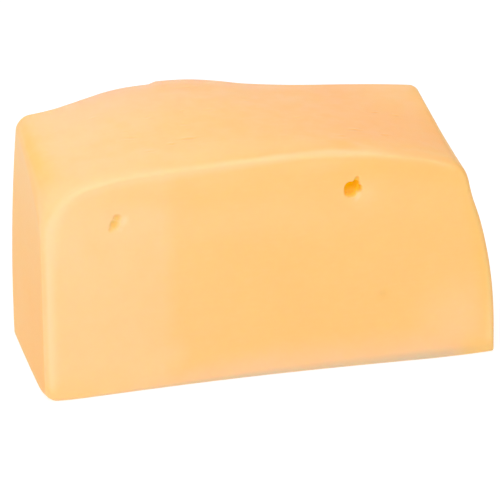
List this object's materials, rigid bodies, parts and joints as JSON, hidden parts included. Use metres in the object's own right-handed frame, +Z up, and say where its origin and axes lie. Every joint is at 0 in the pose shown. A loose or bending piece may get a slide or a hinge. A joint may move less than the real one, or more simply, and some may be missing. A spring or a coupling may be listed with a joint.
{
  "type": "block of edam cheese",
  "caption": "Rindless block of semi-hard edam cheese with a flat foot, a rounded left front corner, a gently humped top, a bulging right end and small eyes in its front face.",
  "frame": {"origin": "centre of the bounding box of the block, on the surface it stands on", "axes": "+Z up; the long cut face with the eyes looks along -Y; +X along the block towards the end that bulges and is lower"},
  "size_m": [0.1528, 0.065, 0.0827],
  "materials": {
    "cheese": "satin"
  },
  "bodies": {
    "root": {"edam_cheese": "cheese"}
  },
  "joints": []
}
